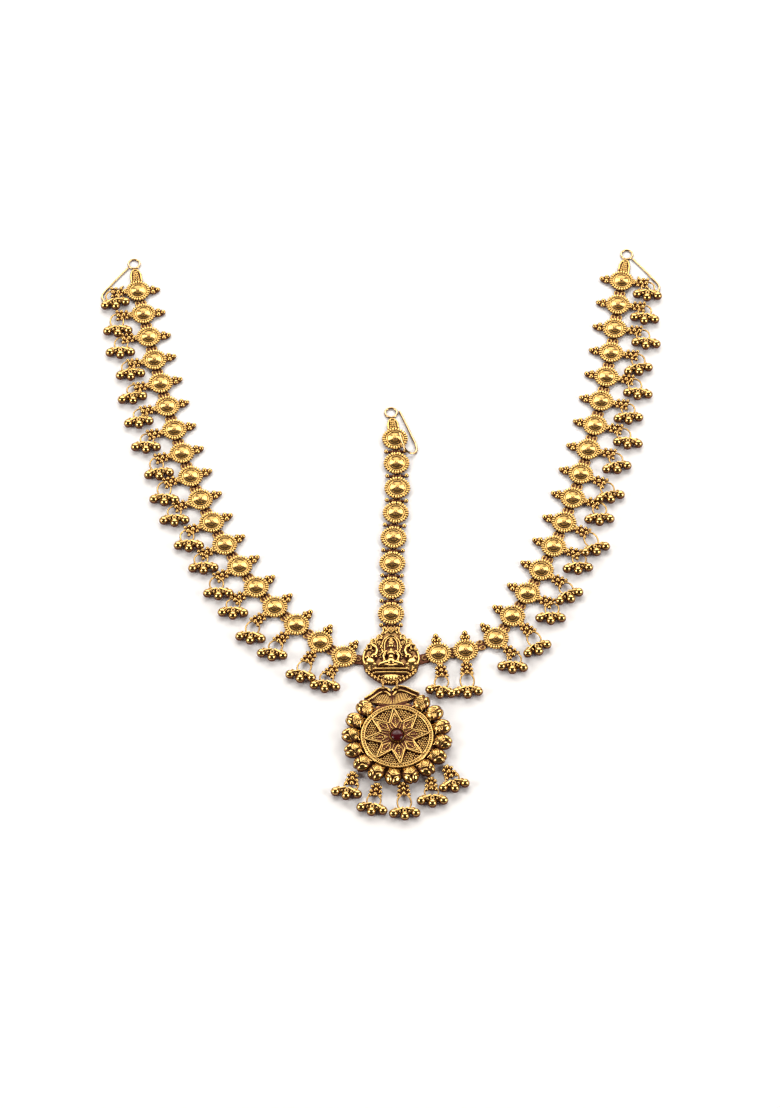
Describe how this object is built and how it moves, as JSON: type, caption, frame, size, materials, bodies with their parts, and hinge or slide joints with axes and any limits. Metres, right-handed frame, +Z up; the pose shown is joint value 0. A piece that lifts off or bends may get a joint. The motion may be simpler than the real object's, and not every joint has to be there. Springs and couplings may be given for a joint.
{
  "type": "matha patti",
  "caption": "Forehead ornament of antique gold rosette links: two side bands with small drops and a centre chain join at a figure plaque with a round pendant and a red stone.",
  "frame": {"origin": "centre of the bounding box, on the surface that the ornament lies on", "axes": "+Z up from the surface, out of the ornament's front; +Y from the pendant to the crown of the head; +X to the right as seen from the front"},
  "size_m": [0.2204, 0.262, 0.0052],
  "materials": {
    "antique_gold": "antique gold plate, polished on the high relief and dark brown in the recesses",
    "gold_wire": "polished gold-plated round wire",
    "dark_red_stone": "polished dark red cabochon"
  },
  "bodies": {
    "root": {"left_link_01": "antique_gold", "left_link_02": "antique_gold", "left_link_03": "antique_gold", "left_link_04": "antique_gold", "left_link_05": "antique_gold", "left_link_06": "antique_gold", "left_link_07": "antique_gold", "left_link_08": "antique_gold", "left_link_09": "antique_gold", "left_link_10": "antique_gold", "left_link_11": "antique_gold", "left_link_12": "antique_gold", "left_link_13": "antique_gold", "left_link_14": "antique_gold", "left_link_15": "antique_gold", "left_link_16": "antique_gold", "left_link_17": "antique_gold", "left_link_18": "antique_gold", "right_link_01": "antique_gold", "right_link_02": "antique_gold", "right_link_03": "antique_gold", "right_link_04": "antique_gold", "right_link_05": "antique_gold", "right_link_06": "antique_gold", "right_link_07": "antique_gold", "right_link_08": "antique_gold", "right_link_09": "antique_gold", "right_link_10": "antique_gold", "right_link_11": "antique_gold", "right_link_12": "antique_gold", "right_link_13": "antique_gold", "right_link_14": "antique_gold", "right_link_15": "antique_gold", "right_link_16": "antique_gold", "right_link_17": "antique_gold", "right_link_18": "antique_gold", "centre_link_1": "antique_gold", "centre_link_2": "antique_gold", "centre_link_3": "antique_gold", "centre_link_4": "antique_gold", "centre_link_5": "antique_gold", "centre_link_6": "antique_gold", "centre_link_7": "antique_gold", "centre_link_8": "antique_gold", "end_ring_left": "gold_wire", "hair_hook_left": "gold_wire", "end_ring_right": "gold_wire", "hair_hook_right": "gold_wire", "end_ring_centre": "gold_wire", "hair_hook_centre": "gold_wire", "goddess_plaque": "antique_gold", "pendant": "antique_gold", "pendant_stone": "dark_red_stone", "pendant_drop_1": "antique_gold", "pendant_drop_2": "antique_gold", "pendant_drop_3": "antique_gold", "pendant_drop_4": "antique_gold", "pendant_drop_5": "antique_gold", "strap_left": "antique_gold", "strap_right": "antique_gold"}
  },
  "joints": []
}
